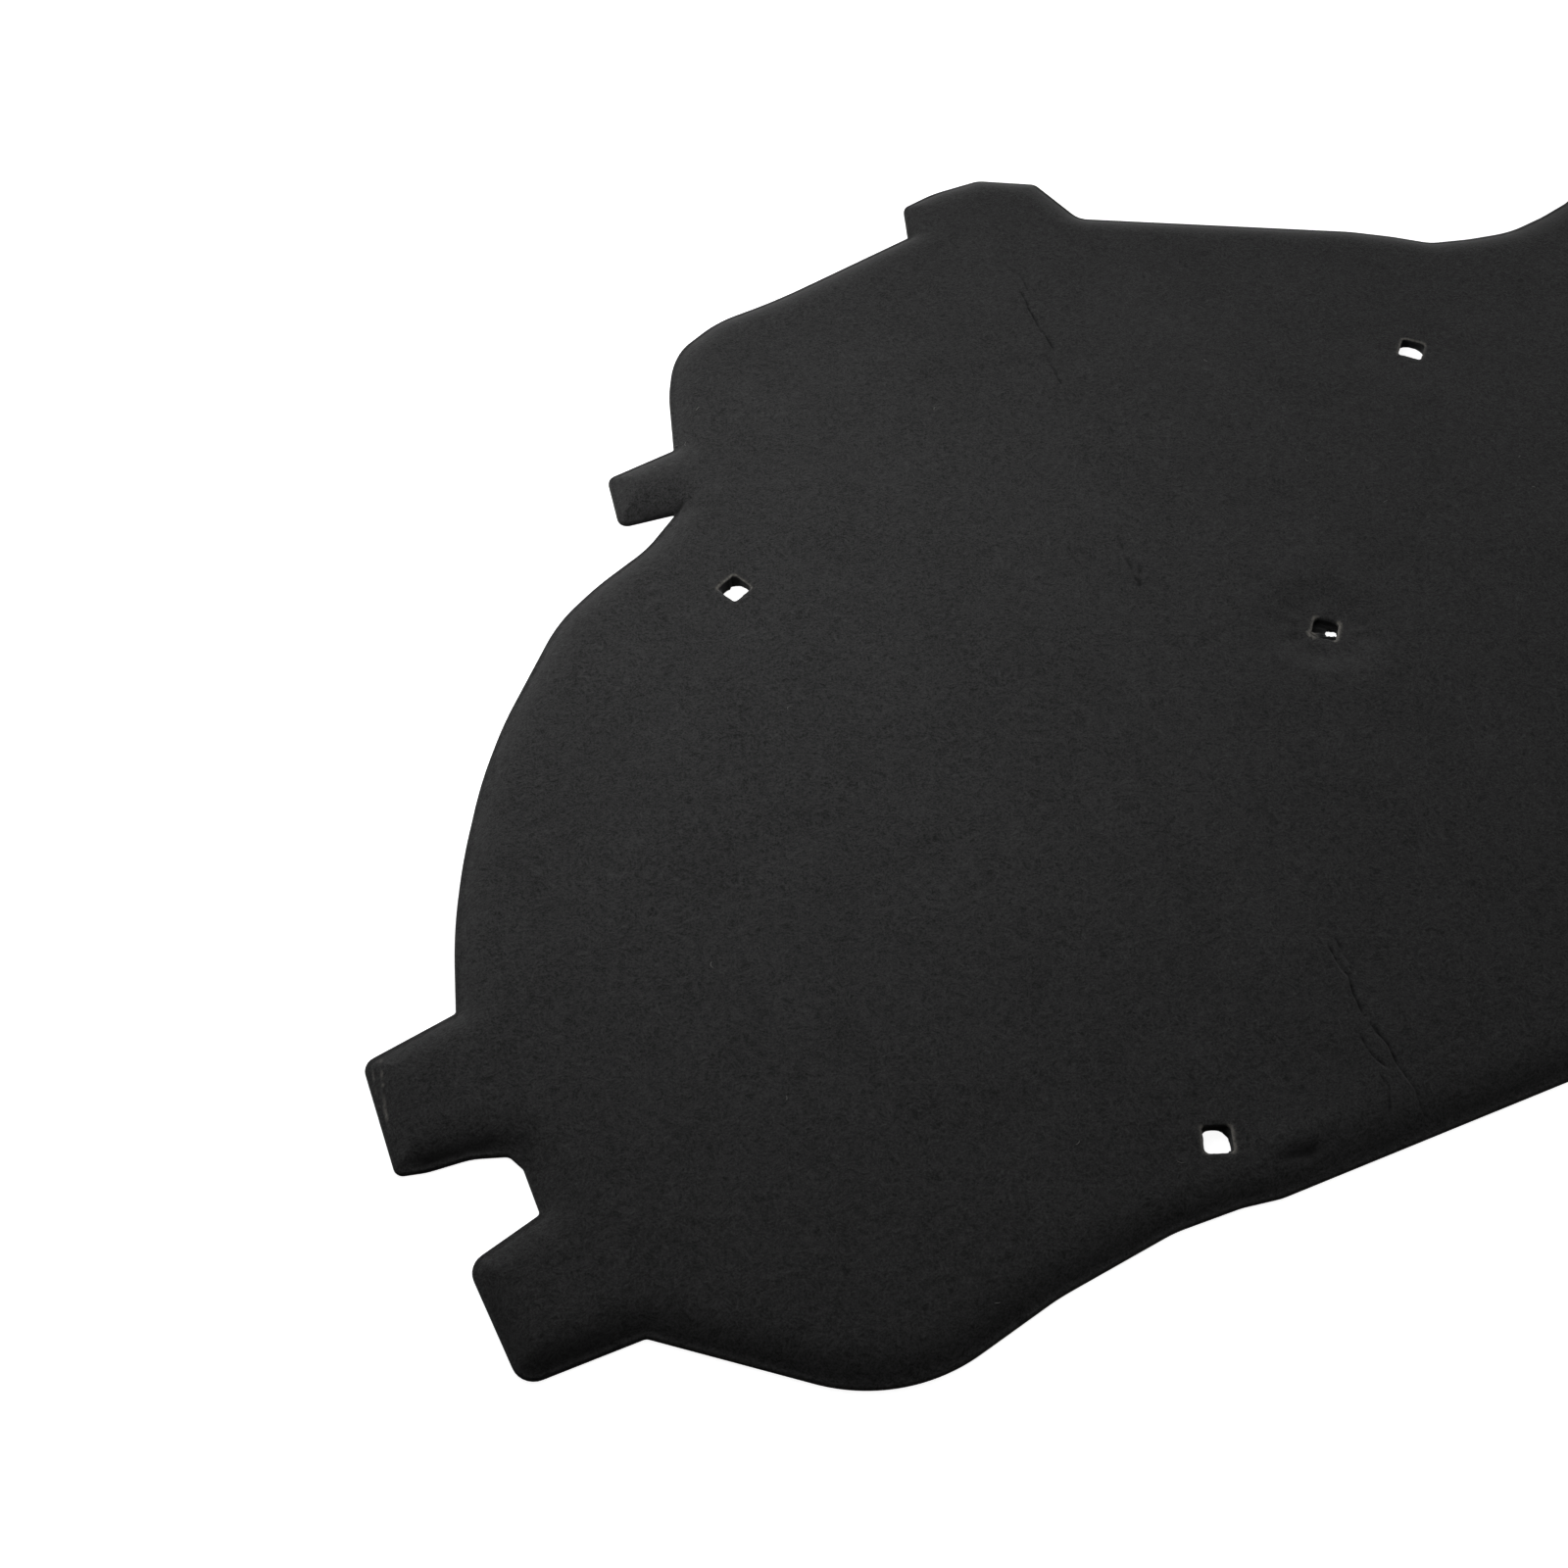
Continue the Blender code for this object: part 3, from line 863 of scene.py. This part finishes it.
def lip_rows(line, shape, paths):
    """The edge lip: the outline moved inwards by each of LIP's insets, at each of its shares of the rim.

    Its tone is LIP's, with the painted shade of a fold or pressed edge added where one reaches it.
    """
    inwards = into_felt(line)
    # Painted shade of the folds and pressed edges, carried onto the lip
    dark = np.minimum(painted_fold_and_edge_shading(line, paths), 0.0)
    return [(line + inwards * move, shape.rim_thickness * share, tone + dark) for move, share, tone in LIP]


def by_side(line, hole, strengths):
    """A value for each point of a hole's outline, blended from those of the hole's four sides."""
    along, across = turned(line, hole.centre, hole.turn)
    reach = np.stack([along, across, -along, -across]) / (hole.side / 2)
    return (smooth((reach - 0.60) / 0.35) * np.array(strengths)[:, None]).max(0)


def wall_rows(hole, seat_heights, seed):
    """A hole's wall: its outline moved into the felt by HOLE_WALL's insets, at its depths below the seat.

    Smooth noise makes the cut ragged. Lower down the sides draw back, and the corners are rounded off by
    HOLE_ROUNDING of their distance from the middle. The last rows carry the wall down to the underside.
    """
    line = hole_outline(hole)
    inwards = into_felt(line)
    pale, drawn = (by_side(line, hole, strengths) for strengths in hole.sides)
    along, across = turned(line, hole.centre, hole.turn)
    corner = (np.hypot(along, across) / np.maximum(abs(along), abs(across)) - 1.0) / (math.sqrt(2.0) - 1.0)
    rounding = (line - hole.centre) * (HOLE_ROUNDING * corner**1.5)[:, None]
    rows = []
    below = [(*row, seat_heights - row[1]) for row in HOLE_WALL]
    below += [(move, hole.seat - height, tone, height) for move, height, tone in HOLE_FOOT]
    for k, (move, depth, tone, height) in enumerate(below):
        share = min(1.0, depth / hole.seat)
        size = HOLE_RAGGED if k else HOLE_TOP_RAGGED
        ragged = soft_noise(line + 0.01 * k, HOLE_RAGGED_CELL, seed + k) * size
        moved = line + inwards * (move * (1.0 + 0.6 * pale) + ragged + drawn * share**0.7)[:, None]
        rows.append((moved - rounding * smooth(depth / 0.0030), height, tone * pale if tone > 0.0 else tone))
    return rows


def torn_rows(hole, seat_heights, seed):
    """The torn hole: the usual wall, then a ledge coloured dark with painted shade that runs in to a small
    ragged gap.

    The gap is an ellipse whose points follow the outline's by angle, with a radius made uneven by noise.
    A scrap of pale felt is left in one corner of the ledge.
    """
    rows = wall_rows(hole, seat_heights, seed)[:5]
    line = hole_outline(hole)
    offset = line - hole.centre
    angle = np.arctan2(offset[:, 1], offset[:, 0])
    lean = angle - math.radians(TORN_GAP_TURN)
    length, width = TORN_GAP_SIZE
    radius = 1.0 / np.sqrt((np.cos(lean) / (length / 2)) ** 2 + (np.sin(lean) / (width / 2)) ** 2)
    radius = radius * (1.0 + TORN_GAP_RAGGED * soft_noise(line, 0.0021, seed + 31))
    gap = np.array(TORN_GAP_CENTRE) + radius[:, None] * way(angle)
    bulge = TORN_LEDGE_BULGE * soft_noise(line, 0.0030, seed + 32)

    along, across = turned(line, hole.centre, hole.turn)
    reach, rise = TORN_SCRAP
    scrap = smooth(1.3 - np.hypot(along + hole.side / 2, across - hole.side / 2) / reach)
    rows[:3] = [(points, heights, np.maximum(tone, 0.9 * scrap)) for points, heights, tone in rows[:3]]
    # A tone below zero on the ledge and in the gap is painted shade; the scrap has the pale cut colour.
    rows.append((line, TORN_LEDGE_HEIGHT + 0.0004 + rise * scrap, np.minimum(2.6 * scrap - 1.0, 1.0)))
    for share in (0.25, 0.5, 0.75):
        left = scrap * max(0.0, 1.0 - share * 1.3)
        sunk = TORN_LEDGE_HEIGHT + bulge * math.sin(math.pi * share) + rise * left
        rows.append((line + (gap - line) * share, sunk, np.minimum(2.6 * left - 1.0, 1.0)))
    rows += [(gap, TORN_LEDGE_HEIGHT - 0.0003, -0.4), (gap, 0.0008, -1.0)]
    return rows + [(line + (gap - line) * 0.96, 0.0, -0.6)]


def pad_surface(shape, outline, paths):
    """The closed pad: outer face, edge lip, walls of the holes and flat underside."""
    line = filled(rounded(whole_outline(), EDGE_STEP, LIP_TURN_STEP), EDGE_STEP)
    rims = [lip_rows(line, shape, paths)]
    for k, hole in enumerate(clip_holes(shape)):
        cut = hole_outline(hole)
        heights = outer_height(cut + into_felt(cut) * HOLE_WALL[0][0], shape, outline, paths)
        make = torn_rows if hole.name == "middle" else wall_rows
        rims.append(make(hole, heights, 200 + 10 * k))

    skin = Skin()
    top, corners = sheet([rows[0][0] for rows in rims], face_points(shape, outline, line, paths))
    # The outer face's tone: painted shade and painted highlight of the folds and edges, on the left half
    left = worn_side(top) * min(shape.wear, 1.0)
    numbers = skin.add(top, outer_height(top, shape, outline, paths), left * painted_fold_and_edge_shading(top, paths))
    skin.faces += numbers[corners].tolist()
    bottom_loops, first = [], 0
    for rows in rims:
        upper = numbers[first : first + len(rows[0][0])]
        skin.tone[0][upper] = rows[0][2]
        first += len(upper)
        for points, heights, tone in rows[1:]:
            lower = skin.add(points, heights, tone)
            skin.strip(upper, lower)
            upper = lower
        bottom_loops.append((rows[-1][0], upper))
    back = hexagonal(outline.min(0), outline.max(0), BACK_SPACING)
    back = clear_of(back, outline, BACK_EDGE_ROOM, shape, BACK_CUT_ROOM)
    places, corners = sheet([points for points, _ in bottom_loops], back)
    loop_numbers = np.concatenate([numbers for _, numbers in bottom_loops])
    inner = skin.add(places[len(loop_numbers) :], 0.0)
    skin.faces += np.concatenate([loop_numbers, inner])[corners][:, ::-1].tolist()
    return skin.mesh("felt_pad")


def needled_felt(look):
    """Black needled felt: fibres in four directions, soft mottling, a fine fuzz and paler cut edges, with
    painted shade where the tone is below zero.
    """
    material, tree, shader = blank_material("needled_felt")
    places = source(tree, "ShaderNodeTexCoord", "Object")

    def noise(vector, scale, detail=2.0, roughness=0.5, out=0):
        return places.node(
            "ShaderNodeTexNoise", None, out, Vector=vector, Scale=scale, Detail=detail, Roughness=roughness
        )

    sway = noise(places, SWAY_SCALE, out=1)
    sway = sway.node("ShaderNodeVectorMath", {"operation": "SUBTRACT"}, in_0=sway, in_1=(0.5,) * 3)
    bent = sway.node(
        "ShaderNodeVectorMath", {"operation": "MULTIPLY_ADD"}, in_0=sway, in_1=(FIBRE_SWAY,) * 3, in_2=places
    )

    def fibres(degrees, length, width, slide):
        """Streaks of noise, length by width in metres, that run this way."""
        laid = bent.node(
            "ShaderNodeMapping", {"vector_type": "TEXTURE"}, Vector=bent, Location=(slide,) * 3,
            Rotation=(0.0, 0.0, math.radians(degrees)), Scale=(length, width, width),
        )
        return noise(laid, 1.0, 2.0, 0.6)

    layers = [fibres(*layer) for layer in FIBRES]
    crossed = layers[0].highest(layers[1]) + layers[2].highest(layers[3])
    strands = (crossed * 0.5 - 0.56) * 3.4
    mottle = noise(places, MOTTLE_SCALE, 3.0) - 0.5
    blotch = noise(places, BLOTCH_SCALE) - 0.5
    fuzz = noise(places, FUZZ_SCALE, 2.0, 0.65) - 0.5
    pale = (0.47 + strands * 0.80 + fuzz * 1.42 + mottle * 0.28 + blotch * 0.10).clamped()

    tone = source(tree, "ShaderNodeAttribute", "Fac", {"attribute_name": "tone"})
    frayed = (tone * (noise(places, FRAY_SCALE) * 2.6 - 0.35) - 0.05).clamped()
    # How much painted shade, where the tone is below zero
    painted_shade = (0.0 - tone * 1.1).clamped()
    colour = frayed.mixed(painted_shade.mixed(pale.mixed(look.dark, look.light), look.painted_shade_colour), look.cut)
    height = strands * 0.45 + fuzz * 0.9 + mottle * 0.6
    bump = height.node("ShaderNodeBump", Strength=0.75, Distance=look.relief, Height=height)
    feed(shader, Base_Color=colour, Roughness=0.88 + mottle * 0.12, Normal=bump)
    feed(shader, Specular_IOR_Level=0.12, Sheen_Weight=0.22, Sheen_Roughness=0.5)
    return material


def lint_fibre(look):
    """Pale lint: a light grey fibre with uneven tone."""
    material, tree, shader = blank_material("lint_fibre")
    places = source(tree, "ShaderNodeTexCoord", "Object")
    tone = places.node("ShaderNodeTexNoise", Vector=places, Scale=LINT_SCALE)
    dim = [0.6 * part for part in look.lint]
    feed(shader, Base_Color=tone.mixed(dim, look.lint), Roughness=0.75 + tone * 0.2)
    return material


def white_floor(glow):
    """A plain white studio surface that is bright enough to swallow its shadows."""
    material, _, shader = blank_material("white_floor")
    feed(shader, Base_Color=(0.82,) * 3, Roughness=0.9, Specular_IOR_Level=0.1)
    feed(shader, Emission_Color=(1.0,) * 3, Emission_Strength=glow)
    return material


def placed(name, data, material=None):
    """Links an object to the scene, at the origin."""
    obj = bpy.data.objects.new(name, data)
    bpy.context.scene.collection.objects.link(obj)
    if material is not None:
        data.materials.append(material)
    return obj


def lint_surface(shape, outline, paths):
    """Lint as short bent tubes: each is a ring carried along a bowed path, narrow at both ends.

    Along a fibre, s runs from -1 to 1: the path is s times half its length, bowed by 1 - s^2.
    """
    rng = np.random.default_rng(11)
    low, high = outline.min(0) + LINT_MARGIN, outline.max(0) - LINT_MARGIN
    spots = rng.uniform(low, high, (LINT_SCATTER * 3, 2))
    spots = clear_of(spots, outline, LINT_MARGIN / 2, shape, LINT_CUT_ROOM)[:LINT_SCATTER]
    spots = np.concatenate([np.array(LINT_PLACES), spots])
    number = len(spots)
    heading, length = rng.uniform(0.0, math.pi, number), rng.uniform(*LINT_LENGTH, number)
    bow = rng.uniform(-0.5, 0.5, number) * length
    s = np.linspace(-1.0, 1.0, LINT_POINTS)
    run = way(heading)
    cross = left_of(run)
    path = spots[:, None] + run[:, None] * (s * length[:, None] / 2)[..., None]
    path = path + cross[:, None] * ((1.0 - s * s) * bow[:, None])[..., None]
    rest = outer_height(path.reshape(-1, 2), shape, outline, paths).reshape(number, -1)
    angle = np.linspace(0.0, 2 * math.pi, LINT_SIDES, endpoint=False)
    radius = (LINT_RADIUS * (1.05 - 0.7 * s**4))[:, None]
    places = np.empty((number, LINT_POINTS, LINT_SIDES, 3))
    places[..., :2] = path[:, :, None] + cross[:, None, None] * (radius * np.cos(angle))[None, :, :, None]
    places[..., 2] = (rest + LINT_RADIUS * 1.2)[:, :, None] + radius * np.sin(angle)
    numbers = np.arange(places[..., 0].size).reshape(places.shape[:3])
    caps = np.concatenate([numbers[:, 0, ::-1], numbers[:, -1]])
    return ringed_mesh("lint", places, numbers, caps.tolist())


def ringed_mesh(name, places, numbers, caps):
    """A mesh of rings of numbered points: quads from each ring to the next, and its caps."""
    around = np.roll(numbers, -1, axis=-1)
    quads = [numbers[..., :-1, :], around[..., :-1, :], around[..., 1:, :], numbers[..., 1:, :]]
    quads = np.stack(quads, axis=-1).reshape(-1, 4).tolist()
    mesh = bpy.data.meshes.new(name)
    mesh.from_pydata(places.reshape(-1, 3).tolist(), [], quads + caps)
    mesh.shade_smooth()
    mesh.update()
    return mesh


def studio_surface():
    """The floor and the backdrop in one: a level disc just below the pad, whose rim curves up into a wall.

    The wall is a quarter of an ellipse turned about Z: radius R + D sin a, height H (1 - cos a). The rings
    run from the wall's top down to the disc, so that the faces point inwards and up.
    """
    rise = np.linspace(math.pi / 2, 0.0, STUDIO_STEPS)[:, None]
    angle = np.linspace(0.0, 2 * math.pi, STUDIO_SIDES, endpoint=False)
    places = np.empty((STUDIO_STEPS, STUDIO_SIDES, 3))
    places[..., :2] = (FLOOR_RADIUS + WALL_DEPTH * np.sin(rise))[..., None] * way(angle)
    places[..., 2] = WALL_HEIGHT * (1.0 - np.cos(rise)) - FLOOR_DROP
    numbers = np.arange(STUDIO_STEPS * STUDIO_SIDES).reshape(STUDIO_STEPS, STUDIO_SIDES)
    return ringed_mesh("studio_floor", places, numbers, [numbers[-1].tolist()])


def facing(place, ahead):
    """The placement of a lamp or a camera that looks ahead from a place."""
    return Matrix.Translation(place) @ ahead.to_track_quat("-Z", "Y").to_matrix().to_4x4()


def add_lamp(name, place, aim, size, power):
    """A rectangular soft lamp at a place, turned to face its aim."""
    light = bpy.data.lights.new(name, "AREA")
    light.shape = "RECTANGLE"
    light.size, light.size_y = size
    light.energy = power
    lamp = placed(name, light)
    lamp.matrix_world = facing(place, Vector(aim) - Vector(place))
    lamp.visible_camera = False


def add_camera(studio):
    """The camera at the photograph's viewing angle."""
    camera = bpy.data.cameras.new("camera")
    camera.lens = studio.lens
    camera.sensor_width = SENSOR_WIDTH
    turn, tilt = math.radians(studio.camera_turn), math.radians(studio.camera_tilt)
    ahead = Vector((-math.sin(turn) * math.cos(tilt), math.cos(turn) * math.cos(tilt), -math.sin(tilt)))
    seen = placed("camera", camera)
    seen.matrix_world = facing(studio.camera_place, ahead)
    return seen


def set_sky(scene, strength):
    """A studio sky: dim overhead, pale near the horizon, most so beyond the front edge, and dark below."""
    scene.world = bpy.data.worlds.new("studio_sky")
    scene.world.use_nodes = True
    tree = scene.world.node_tree
    ways = source(tree, "ShaderNodeTexCoord", "Generated")
    ahead, rise = (ways.node("ShaderNodeSeparateXYZ", None, out, Vector=ways) for out in (1, 2))
    band = (1.0 - rise.size() * 7.0).clamped() * (0.62 + ahead * 0.48)
    glow = (band + strength) * (rise * 20.0 + 0.5).clamped()
    feed(tree.nodes["Background"], Color=(1.0,) * 3, Strength=glow)


def pad_plan(context):
    """What both pieces are made from: the pad's sizes, its outline and the paths of its fold lines."""
    return context.scene.hood_pad_shape, rounded(whole_outline(), 1.0, OUTLINE_TURN_STEP), line_paths()


class HOODPAD_OT_pad(bpy.types.Operator):
    """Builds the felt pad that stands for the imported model's solid"""

    bl_idname = "hood_pad.pad"
    bl_label = "Build the felt pad"

    def execute(self, context):
        pad = placed("felt_pad", pad_surface(*pad_plan(context)), needled_felt(context.scene.hood_pad_felt))
        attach(pad, BODY)
        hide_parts(CAD_NODE)
        return {"FINISHED"}


class HOODPAD_OT_lint(bpy.types.Operator):
    """Lays specks of lint on the felt"""

    bl_idname = "hood_pad.lint"
    bl_label = "Lay the lint"

    def execute(self, context):
        lint = placed("lint", lint_surface(*pad_plan(context)), lint_fibre(context.scene.hood_pad_felt))
        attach(lint, BODY)
        return {"FINISHED"}


class HOODPAD_OT_stage(bpy.types.Operator):
    """Sets up the floor, the soft lights and the camera"""

    bl_idname = "hood_pad.stage"
    bl_label = "Set up the studio"

    def execute(self, context):
        studio = context.scene.hood_pad_studio
        floor = placed("studio_floor", studio_surface(), white_floor(studio.floor_glow))
        floor.visible_diffuse = floor.visible_glossy = floor.visible_shadow = False
        for name, place, aim, size in LAMPS:
            add_lamp(name, place, aim, size, getattr(studio, name + "_power"))
        set_sky(context.scene, studio.sky_strength)
        context.scene.camera = add_camera(studio)
        context.scene.view_settings.view_transform = "Standard"
        return {"FINISHED"}


class HOODPAD_PT_panel(bpy.types.Panel):
    """Lists the sizes, the colours and the steps"""

    bl_idname = "HOODPAD_PT_panel"
    bl_label = "Hood pad"
    bl_space_type = "VIEW_3D"
    bl_region_type = "UI"
    bl_category = "Hood pad"

    def draw(self, context):
        for name in GROUPS:
            group = getattr(context.scene, name)
            box = self.layout.box()
            for value in group.__annotations__:
                box.prop(group, value)
        for step in STEPS:
            self.layout.operator(step.bl_idname)


STEPS = (HOODPAD_OT_pad, HOODPAD_OT_lint, HOODPAD_OT_stage)
GROUPS = {"hood_pad_shape": PadShape, "hood_pad_felt": FeltLook, "hood_pad_studio": StudioLook}
CLASSES = (*GROUPS.values(), *STEPS, HOODPAD_PT_panel)


def register():
    for part in CLASSES:
        bpy.utils.register_class(part)
    for name, group in GROUPS.items():
        setattr(bpy.types.Scene, name, PointerProperty(type=group))


def unregister():
    for name in GROUPS:
        delattr(bpy.types.Scene, name)
    for part in reversed(CLASSES):
        bpy.utils.unregister_class(part)


def main():
    register()
    bpy.ops.hood_pad.pad()
    bpy.ops.hood_pad.lint()
    bpy.ops.hood_pad.stage()


if __name__ == "__main__":
    main()
